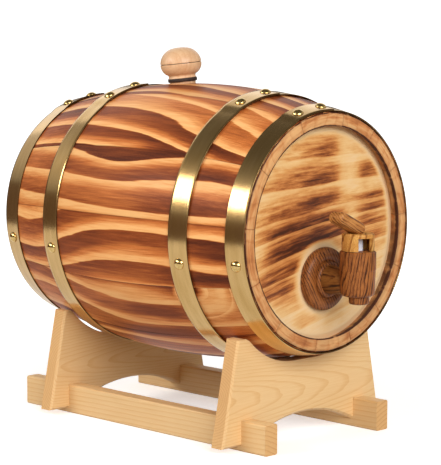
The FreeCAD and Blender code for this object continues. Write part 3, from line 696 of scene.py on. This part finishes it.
def make_head_board(end, part, wood):
    node = "head_%s_%s" % (end, part)
    side = 1 if end == "front" else -1
    place = (Matrix.Translation(BARREL + Vector((0, -side * HEAD_FACE, 0)))
             @ Matrix.Rotation(math.radians(90 * side), 4, "X"))
    obj = new_object(node + "_wood", *head_mesh(56 if end == "front" else 32), place)
    if node == "head_front_bottom":
        drill(obj, tap_hole_cutter())
    up = Matrix.Rotation(math.radians(HEAD_TURNS[end]), 3, "Y") @ Vector((0, 0, 1))
    heights = [(corner - BARREL).dot(up) for corner in corners_of(node)]
    cuts = bmesh.new()
    cuts.from_mesh(obj.data)
    for height, outward in ((min(heights), -up), (max(heights), up)):
        if abs(height) > HEAD_RADIUS - 1 * MM:
            continue
        geometry = cuts.verts[:] + cuts.edges[:] + cuts.faces[:]
        cut = bmesh.ops.bisect_plane(cuts, geom=geometry, plane_co=BARREL + up * height,
                                     plane_no=outward, clear_outer=True)
        rim = [e for e in cut["geom_cut"] if isinstance(e, bmesh.types.BMEdge)]
        bmesh.ops.contextual_create(cuts, geom=rim)
    bmesh.ops.recalc_face_normals(cuts, faces=cuts.faces)
    cuts.to_mesh(obj.data)
    cuts.free()
    set_materials(obj, wood)

    def grain_at(point):
        """Height across the grain, whose lean grows towards the bottom of the head."""
        away = point - BARREL
        low = clamped((HEAD_LEAN_FROM - away.z) / HEAD_LEAN_OVER)
        lean = math.radians(HEAD_LEANS[0] + (HEAD_LEANS[1] - HEAD_LEANS[0]) * low)
        return away.z - side * away.x * math.tan(lean)

    def board_at(point):
        away = point - BARREL
        shift = BOARD_SHIFTS[part] + (0 if end == "front" else REAR_SHIFT)
        return grain_at(point) + shift, away.x + shift, away.y

    def torch_here(point):
        away = point - BARREL
        return torch_at(side * away.x, away.z, HEAD_TURNS[end])

    def clean_at(point):
        """Share of the torch that gets through: less at the edge, low down and near the tap."""
        away = point - BARREL
        inside = clamped((HEAD_FACE_RADIUS - 0.5 * MM - math.hypot(away.x, away.z)) / (4 * MM))
        if end == "rear":
            return inside
        off_tap = math.hypot(point.x - STEM.x, point.z - STEM.z) - TAP_CLEAN_RADIUS
        low = max(clamped((away.z + 68 * MM) / (24 * MM)), 0.55)
        x, z, half_width, half_height, share = PALE_BAR
        pale = share * math.exp(-((away.x / MM - x) / half_width) ** 4
                                - ((away.z / MM - z) / half_height) ** 4)
        return inside * clamped(off_tap / TAP_CLEAN_EASE) * low * (1 - pale)

    point_values(obj, board=board_at, torch=torch_here, clean=clean_at,
                 rings=lambda point: band_at(grain_at(point), HEAD_BANDS[end]))
    stands_for(obj, node, "barrel", 25)


def tap_hole_cutter():
    _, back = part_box("tap_stem")
    hole, reach = 9.5 * MM, 40 * MM
    place = (Matrix.Translation((STEM.x, back.y - 20 * MM, STEM.z))
             @ Matrix.Rotation(math.radians(90), 4, "X"))
    profile = [(0, -reach), (hole, -reach), (hole, reach), (0, reach)]
    return new_object("tap_hole", *turn(profile, 64), place)


# ---- Hoops and nails

# The strips lap over each other a little past the two lap nails, in degrees, and the outer end
# climbs onto the inner one over LAP_SLOPE.
STRIP_THICKNESS = 0.95 * MM
STRIP_EASE = 0.22 * MM
LAP_MARGIN = 3.8
LAP_SLOPE = 5.0
# A nail's (radius, height over the strip) in millimetres: shank and flange, then dome.
NAIL_SHANK = ((0, -7), (0.9, -5.5), (0.9, -0.2), (4.0, -0.2), (4.3, -0.1))
NAIL_DOME = ((4.3, 0.25), (2.9, 1.75), (0.0, 2.45))
NAIL_LEAN = 4


def hoop_brass():
    """Brass brushed along the strip, dull and dark on its cut edges."""
    s = new_shader("hoop_brass")
    strip = s.vector("strip")
    scratch = s.noise(strip, (0.05, 0.00025, 0.05), roughness=0.7)
    wear = s.noise(strip, (0.03, 0.006, 0.03), detail=4)
    colour = s.mix(s.span(wear, 0.35, 0.7), srgb(218, 180, 120), srgb(202, 162, 100))
    cut = s.value("cut_edge")
    colour = s.mix(cut, colour, srgb(84, 58, 32))
    rough = s.total(s.span(scratch, 0.3, 0.7, 0.11, 0.19), s.span(wear, 0.3, 0.8, 0.0, 0.04),
                    s.product(cut, 0.35))
    return s.finish(colour, rough, s.bump(scratch, 0.008 * MM), Metallic=1.0)


def nail_brass():
    s = new_shader("nail_brass")
    wear = s.noise(s.place(), 0.0015)
    colour = s.mix(s.span(wear, 0.35, 0.7), srgb(230, 198, 132), srgb(206, 166, 96))
    return s.finish(colour, s.span(wear, 0.3, 0.7, 0.07, 0.14), s.bump(wear, 0.02 * MM),
                    Metallic=1.0)


def hoop_edges(node):
    """(along, inner radius) of a hoop's two edges, front first."""
    low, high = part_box(node)
    return [(y, radii_at(node, y)[0]) for y in (low.y - BARREL.y, high.y - BARREL.y)]


def nail_angles(node):
    """The angle of each nail of a hoop, from the middles of its separate heads."""
    corners = sorted(a % 360 for a, _, _ in node_polar(node))
    groups = [[corners[0]]]
    for angle in corners[1:]:
        if angle - groups[-1][-1] > 3:
            groups.append([])
        groups[-1].append(angle)
    if groups[0][0] + 360 - groups[-1][-1] < 3:
        groups[0] += [a - 360 for a in groups.pop()]
    return [(min(g) + max(g)) / 2 for g in groups]


def lap_of(name):
    """First and last angle of a hoop's overlap, a little outside its two lap nails."""
    near_top = sorted((wrapped(a) for a in nail_angles("nails_" + name)), key=abs)[:2]
    return min(near_top) - LAP_MARGIN, max(near_top) + LAP_MARGIN


def make_hoop(name, metal):
    """A strip bent round the barrel, its outer end lapped over its inner end."""
    node = "hoop_" + name
    (y0, r0), (y1, r1) = hoop_edges(node)
    lap_start, lap_end = lap_of(name)
    thick, width = STRIP_THICKNESS, math.hypot(y1 - y0, r1 - r0)
    in_side, in_face = STRIP_EASE / width, STRIP_EASE / thick
    outline = [(in_side, 0), (0, in_face), (0, 1 - in_face), (in_side, 1)]
    outline += [(t, 1) for t in spaced(0.1, 0.9, 6)]
    outline += [(1 - in_side, 1), (1, 1 - in_face), (1, in_face), (1 - in_side, 0)]
    outline += [(t, 0) for t in spaced(0.9, 0.1, 4)]
    angles = [lap_start, lap_start + 0.12, *spaced(lap_start + 1.5, lap_end + 358.5, 250),
              lap_end + 359.88, lap_end + 360]
    rings, strips, cut_edges = [], [], []
    for angle in angles:
        climbed = clamped((angle - (lap_start + 360 - LAP_SLOPE)) / LAP_SLOPE)
        lift = thick * climbed * climbed * (3 - 2 * climbed)
        pinch = 0.8 if angle in (angles[0], angles[-1]) else 1.0
        rings.append([])
        for share, height in outline:
            level = (0.5 + (height - 0.5) * pinch) * thick + lift
            rings[-1].append(on_barrel(angle, r0 + (r1 - r0) * share + level,
                                       y0 + (y1 - y0) * share))
            strips.append((math.radians(angle) * r0, share * width, level))
            cut_edges.append(1.0 if share in (0, 1) else 0.0)
    obj = new_object(node + "_strip", *loft(rings))
    point_values(obj, strip=strips, cut_edge=cut_edges)
    set_materials(obj, metal)
    stands_for(obj, node, "barrel", 50)


def make_nails(name, metal):
    """Domed nails: a shank through the strip, a thin flange and a round dome."""
    node = "nails_" + name
    (y0, r0), (y1, r1) = hoop_edges("hoop_" + name)
    lap_start, lap_end = lap_of(name)
    slope = math.atan2(r1 - r0, y1 - y0)
    profile = [(r * MM, h * MM) for r, h in (*NAIL_SHANK, *arc(*NAIL_DOME, 12)[:-1], NAIL_DOME[-1])]
    points, faces = [], []
    luck = random.Random(node)
    for angle in nail_angles(node):
        lift = STRIP_THICKNESS if lap_start <= wrapped(angle) <= lap_end else 0.0
        seat = Vector((0, (y0 + y1) / 2, (r0 + r1) / 2 + STRIP_THICKNESS + lift))
        tilt, lean = (math.radians(luck.uniform(-NAIL_LEAN, NAIL_LEAN)) for _ in "xy")
        place = (Matrix.Translation(BARREL) @ Matrix.Rotation(math.radians(angle), 4, "Y")
                 @ Matrix.Translation(seat) @ Matrix.Rotation(slope + tilt, 4, "X")
                 @ Matrix.Rotation(lean, 4, "Y"))
        nail_points, nail_faces = turn(profile, 40)
        start = len(points)
        points += [place @ Vector(p) for p in nail_points]
        faces += [tuple(start + i for i in f) for f in nail_faces]
    obj = new_object(node + "_domes", points, faces)
    set_materials(obj, metal)
    stands_for(obj, node, "barrel", 40)


# ---- Bung

BUNG_AXIS = Vector(JOINTS["bung_pull"]["axis"]).normalized()
BUNG_PLACE = (Matrix.Translation(middle("bung_gasket"))
              @ Vector((0, 0, 1)).rotation_difference(BUNG_AXIS).to_matrix().to_4x4())
# Heights on the bung are counted from this far below the middle of its gasket.
GASKET_MIDDLE = 2.8 * MM
# (radius, height) of the plug's ends, and the heights between which its hole is cut.
PLUG_TOP, PLUG_TIP = (10.6 * MM, 1.6 * MM), (9.6 * MM, -15 * MM)
HOLE_TOP, HOLE_BOTTOM = 6 * MM, -22 * MM


def bung_hole_cutter():
    """A cone with the plug's taper that reaches through the stave."""
    taper = (PLUG_TOP[0] - PLUG_TIP[0]) / (PLUG_TOP[1] - PLUG_TIP[1])
    wide = PLUG_TOP[0] + taper * (HOLE_TOP - PLUG_TOP[1])
    narrow = PLUG_TIP[0] + taper * (HOLE_BOTTOM - PLUG_TIP[1])
    top, bottom = HOLE_TOP - GASKET_MIDDLE, HOLE_BOTTOM - GASKET_MIDDLE
    profile = [(0, bottom), (narrow, bottom), (wide, top), (0, top)]
    return new_object("bung_hole", *turn(profile, 72), BUNG_PLACE)


def bung_wood():
    """Pale turned wood with fine rings and pores, with painted shade in the knob's groove."""
    s = new_shader("bung_wood")
    place = s.place()
    rings = s.total(s.math("DIVIDE", s.split(place)[0], 0.0042),
                    s.wave(place, (0.02, 0.02, 0.05), 0.6),
                    s.wave(place, (0.004, 0.004, 0.012), 0.12))
    band = s.in_rings(rings, (0.0, 0.0), (0.6, 0.35), (0.9, 1.0), (1.0, 0.0))
    fibre = s.noise(place, (0.0006, 0.0006, 0.012))
    cloud = s.noise(place, (0.012, 0.012, 0.02))
    share = s.total(s.product(band, 0.14), s.swing(fibre, 0.7), s.swing(cloud, 0.6, 0.35))
    colour = s.shades(share, (0.0, 236, 194, 150), (0.5, 216, 158, 110), (1.0, 172, 110, 70))
    # Painted shade at the bottom of the knob's groove.
    colour = s.mix(s.value("groove"), colour, srgb(100, 58, 36))
    return s.finish(colour, 0.42, s.bump(fibre, 0.06 * MM), Coat_Weight=0.2, Coat_Roughness=0.3)


def make_knob(wood):
    """Turned knob with a fine groove round its widest part, drawn in millimetres."""
    foot, waist, widest = (11.2, 4.3), (12.2, 7.4), (16.3, 16.0)
    shoulder, top = (5.9, 27.85), (0, 28.4)
    groove = [(16.26, 15.6), (15.5, 15.78), (15.5, 15.98), (16.28, 16.2)]
    outline = [(0, foot[1]), *arc(foot, (10.6, 5.9), waist, 6)[:-1],
               *arc(waist, (15.4, 11.2), widest, 16)[:-1], *groove,
               *arc(widest, (13.1, 23.8), shoulder, 22)[1:-1],
               *arc(shoulder, (3.0, 28.27), top, 4)[:-1], top]
    profile = [(r * MM, h * MM - GASKET_MIDDLE) for r, h in outline]
    obj = new_object("bung_knob_turned", *turn(profile, 96), BUNG_PLACE)
    set_materials(obj, wood)
    to_lathe = BUNG_PLACE.inverted()

    # Where the knob's groove gets its painted shade.
    def groove_shade_at(point):
        local = to_lathe @ point
        height = local.z + GASKET_MIDDLE
        deep = math.hypot(local.x, local.y) < 15.9 * MM
        return 1.0 if deep and 15.7 * MM < height < 16.1 * MM else 0.0

    point_values(obj, groove=groove_shade_at)
    stands_for(obj, "bung_knob", "bung", 30)


# ---- Tap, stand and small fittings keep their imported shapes

# The tap's wood: XYZ angles that tilt the stripes, their pitch, and three colours.
BROWN = ((176, 108, 52), (126, 70, 32), (62, 31, 14))
TAP_WOODS = {
    "tap_body": ((0, 9, 0), 2.8 * MM, *BROWN),
    "tap_spout": ((0, 9, 0), 2.8 * MM, *BROWN),
    "tap_valve_plug": ((0, 0, 0), 4.0 * MM, *BROWN),
    "tap_rosette": ((0, -30, 0), 2.6 * MM, (168, 102, 50), (120, 67, 31), (58, 30, 14)),
    "tap_stem": ((90, 0, 12), 5.0 * MM, (150, 96, 44), (112, 64, 26), (62, 32, 14)),
    "tap_handle": ((0, -64, 0), 2.2 * MM, (204, 142, 78), (160, 98, 48), (84, 46, 20)),
    "tap_collar": ((0, 20, 0), 6.0 * MM, (230, 176, 96), (196, 130, 58), (126, 74, 30)),
}
# Small fittings: size and detail of the specks, two colours and roughnesses, depth, metallic.
SPECKLED = {
    "tap_spindle": (4.0 * MM, 3, (236, 238, 246), (214, 218, 230), (0.16, 0.28), 0.02 * MM, 0.0),
    "bung_gasket": (1.0 * MM, 4, (62, 40, 28), (40, 26, 20), (0.55, 0.75), 0.08 * MM, 0.0),
    "stand_screws": (0.8 * MM, 3, (200, 200, 204), (160, 162, 168), (0.25, 0.42), 0.03 * MM, 1.0),
}
# The stand: axes across, in depth and along (0 is X), millimetres from the piece's middle to its
# pith, how the pith slopes in depth, and the rings' pitch and waviness.
PINES = {
    "stand_board_front": ((2, 1, 0), (0, 15, -6), -0.08, 2.0 * MM, 0.45),
    "stand_board_rear": ((2, 1, 0), (0, -15, -6), -0.07, 2.0 * MM, 0.45),
    "stand_rail_left": ((0, 2, 1), (-24, 0, -60), 0.02, 3.4 * MM, 0.15),
    "stand_rail_right": ((0, 2, 1), (24, 0, -60), 0.02, 3.4 * MM, 0.15),
}


def striped_wood(name, tilt, pitch, ground, stripe, dark):
    """Dark hardwood whose stripes run along Z before they are tilted."""
    s = new_shader(name)
    place = s.turned(s.place(), tilt, TAP_AXIS)
    across = s.split(place)
    rings = s.total(s.math("DIVIDE", across[0], pitch), s.math("DIVIDE", across[1], pitch * -1.3),
                    s.wave(place, (0.008, 0.008, 0.035), 0.75),
                    s.wave(place, (0.003, 0.003, 0.012), 0.28))
    band = s.in_rings(rings, (0.0, 0.1), (0.5, 0.25), (0.78, 0.95), (0.9, 1.0), (1.0, 0.15))
    weight = s.span(s.noise(place, (0.004, 0.004, 0.016), detail=2), 0.3, 0.7, 0.15, 1.1)
    fibre = s.noise(place, (0.0005, 0.0005, 0.008), roughness=0.65)
    cloud = s.noise(place, (0.007, 0.007, 0.02))
    share = s.total(s.product(band, weight), s.swing(fibre, 1.3), s.swing(cloud, 0.8, 0.4))
    colour = s.shades(share, (0.0, *ground), (0.45, *stripe), (0.95, *dark))
    return s.finish(colour, s.span(fibre, 0.3, 0.7, 0.34, 0.5), s.bump(fibre, 0.12 * MM),
                    Coat_Weight=0.08, Coat_Roughness=0.25, Specular_IOR_Level=0.22)


def speckled(name, size, detail, first, second, roughness, depth, metallic):
    """Rubber, plastic or steel with faint specks."""
    s = new_shader(name)
    speck = s.noise(s.place(), size, detail=detail)
    colour = s.shades(speck, (0.3, *first), (0.7, *second))
    return s.finish(colour, s.span(speck, 0.3, 0.7, *roughness), s.bump(speck, depth),
                    Metallic=metallic)


def pine(name, axes, pith, slope, pitch, waviness):
    """Pale planed pine. Its growth rings lie round a pith line near the piece."""
    s = new_shader(name)
    place = s.place()
    parts = s.split(place)
    across, depth, along = (s.math("SUBTRACT", parts[axis], pith[axis]) for axis in axes)
    depth = s.total(depth, s.product(along, slope))
    distance = s.math("SQRT", s.total(s.product(across, across), s.product(depth, depth)))
    sizes = tuple(0.09 if axis == axes[2] else 0.02 for axis in range(3))
    fine = tuple(0.02 if axis == axes[2] else 0.0007 for axis in range(3))
    rings = s.total(s.math("DIVIDE", distance, pitch), s.wave(place, sizes, waviness),
                    s.wave(place, tuple(size / 4 for size in sizes), 0.2 * waviness))
    late = s.in_rings(rings, (0.0, 0.0), (0.6, 0.08), (0.88, 0.8), (0.94, 1.0), (1.0, 0.0))
    fibre = s.noise(place, fine)
    normal = s.split(s.place("Normal"))
    end = s.span(s.math("ABSOLUTE", normal[axes[2]]), 0.6, 0.9)
    share = s.total(s.product(late, 0.24), s.swing(fibre, 0.34),
                    s.product(s.noise(place, 0.05, detail=2), 0.2),
                    s.product(end, 0.30))
    colour = s.shades(share, (0.0, 242, 206, 152), (0.35, 230, 184, 124), (0.7, 208, 150, 88),
                      (1.0, 180, 122, 68))
    height = s.total(s.product(late, 0.5), s.product(fibre, 0.6))
    return s.finish(colour, s.span(end, 0.0, 1.0, 0.5, 0.65), s.bump(height, 0.08 * MM))


def dress(node, material):
    for slot in frame["nodes"][node].material_slots:
        slot.material = material


def dress_fittings():
    for node, look in TAP_WOODS.items():
        dress(node, striped_wood(node + "_wood", *look))
    for node, look in SPECKLED.items():
        dress(node, speckled(node + "_surface", *look))
    for node, (axes, to_pith, *grain) in PINES.items():
        dress(node, pine(node + "_pine", axes, middle(node) + MM * Vector(to_pith), *grain))


# ---- Floor, light and camera

WHITE = (1.0, 1.0, 1.0, 1.0)
FLOOR_HALF = 8.0
FLAG_INSIDE, FLAG_OUTSIDE, FLAG_HEIGHT = 1.0, 1.01, 0.33
# Brightness of the surroundings by the upward part of the direction one looks in.
STUDIO_LEVELS = ((0.0, 0.14), (0.14, 0.22), (0.28, 0.50), (0.42, 0.72), (0.56, 0.42),
                 (0.68, 0.24), (0.85, 0.12))
# Each light: the direction it stands in, its distance, its width and height, and its power.
LIGHTS = {
    "key": ((-0.84, 0.36, 0.44), 1.6, (1.1, 0.42), 11),
    "backdrop_glow": ((0.55, 0.62, 0.56), 2.2, (2.6, 1.5), 8),
    "fill": ((-0.35, -0.92, 0.45), 2.4, (1.6, 1.2), 41),
}
CAMERA_PLACE = (-1.06221, -1.06322, 0.32301)
CAMERA_FORWARD = Vector((0.70215, 0.70269, -0.11495))
CAMERA_ROLL = 0.165
CAMERA_LENS, CAMERA_SENSOR, CAMERA_NEAR = 149.4, 36.0, 0.05


def stage_piece(obj, s, size, first, second, roughness, hidden_from, **more):
    """A mottled piece of the studio that some kinds of ray don't see."""
    mottle = s.noise(s.place(), size, detail=2)
    colour = s.ramp(mottle, [(0.3, first), (0.7, second)])
    set_materials(obj, s.finish(colour, roughness, **more))
    for ray in hidden_from:
        setattr(obj, "visible_" + ray, False)


def make_floor():
    """A pale floor for the camera that glows to white further out, and below it two duller ones:
    one lights the object, the other is mirrored by it."""
    def sheet(name, height):
        corners = [(x * FLOOR_HALF, y * FLOOR_HALF, height)
                   for x, y in ((-1, -1), (1, -1), (1, 1), (-1, 1))]
        return new_object(name, corners, [(0, 1, 2, 3)])

    s = new_shader("floor")
    away = s.add("ShaderNodeVectorMath", {0: s.place()}, operation="LENGTH").outputs["Value"]
    glow = s.span(away, 0.15, 0.9, 0.45, 1.0, ease="SMOOTHSTEP")
    stage_piece(sheet("floor", 0.0), s, 0.5, srgb(250, 250, 250), srgb(246, 246, 246), 0.9,
                ("diffuse", "glossy", "shadow"), Emission_Color=WHITE, Emission_Strength=glow)
    stage_piece(sheet("floor_bounce", -1 * MM), new_shader("floor_bounce"), 0.5,
                (0.57, 0.50, 0.42), (0.53, 0.465, 0.39), 0.9, ("camera", "glossy"))
    stage_piece(sheet("floor_mirrored", -2 * MM), new_shader("floor_mirrored"), 0.5, 0.5, 0.46,
                0.9, ("camera", "diffuse"), Emission_Color=WHITE, Emission_Strength=0.80)


def make_flag():
    """A low dark wall round the set that only reflections see: the dark line in polished brass."""
    section = ((FLAG_INSIDE, 0), (FLAG_INSIDE, FLAG_HEIGHT), (FLAG_OUTSIDE, FLAG_HEIGHT),
               (FLAG_OUTSIDE, 0))
    rings = [[(r * math.cos(a), r * math.sin(a), z) for r, z in section]
             for a in spaced(0, 2 * math.pi, 96)[:-1]]
    stage_piece(new_object("flag", *loft(rings, closed=True)), new_shader("flag"), 0.1, 0.030,
                0.038, 1.0, ("camera", "diffuse", "shadow"),
                Emission_Color=(0.30, 0.19, 0.13, 1), Emission_Strength=0.35)


def make_light(name, direction, distance, size, power):
    """A soft rectangle that faces the barrel."""
    light = bpy.data.lights.new(name, "AREA")
    light.shape = "RECTANGLE"
    light.size, light.size_y = size
    light.energy = power
    obj = linked(name, light)
    towards = Vector(direction).normalized()
    obj.location = BARREL + towards * distance
    obj.rotation_euler = towards.to_track_quat("Z", "Y").to_euler()


def make_world():
    """White behind the object, and a studio that is bright low down and dim overhead."""
    s = Shader(bpy.data.worlds.new("studio"))
    bpy.context.scene.world = s.owner
    upward = s.split(s.place("Generated"))["Z"]
    around = s.ramp(upward, [(share, (level, 0.98 * level, 0.94 * level))
                             for share, level in STUDIO_LEVELS])
    studio = s.add("ShaderNodeBackground", {"Color": around, "Strength": 1.0})
    white = s.add("ShaderNodeBackground", {"Color": WHITE, "Strength": 1.2})
    seen = s.add("ShaderNodeLightPath").outputs["Is Camera Ray"]
    mixed = s.add("ShaderNodeMixShader", {0: seen, 1: studio.outputs[0], 2: white.outputs[0]})
    s.add("ShaderNodeOutputWorld", {0: mixed.outputs[0]})


def make_camera():
    data = bpy.data.cameras.new("camera")
    data.lens, data.sensor_width, data.clip_start = CAMERA_LENS, CAMERA_SENSOR, CAMERA_NEAR
    camera = linked("camera", data)
    camera.location = CAMERA_PLACE
    facing = (-CAMERA_FORWARD).to_track_quat("Z", "Y").to_matrix().to_4x4()
    roll = Matrix.Rotation(math.radians(CAMERA_ROLL), 4, "Z")
    camera.rotation_euler = (facing @ roll).to_euler()
    bpy.context.scene.camera = camera


def main():
    make_camera()
    make_world()
    for name, light in LIGHTS.items():
        make_light(name, *light)
    make_floor()
    make_flag()
    face_wood, end_wood = stave_wood(), stave_end_wood()
    for number, node in enumerate(STAVES):
        make_stave(node, number, face_wood, end_wood)
    for end in ("front", "rear"):
        wood = head_wood()
        for part in ("bottom", "middle", "top"):
            make_head_board(end, part, wood)
    hoop_metal, nail_metal = hoop_brass(), nail_brass()
    for name in HOOPS:
        make_hoop(name, hoop_metal)
        make_nails(name, nail_metal)
    bung = bung_wood()
    make_knob(bung)
    dress("bung_plug", bung)
    dress_fittings()
    bpy.context.scene.view_settings.view_transform = "Standard"


main()
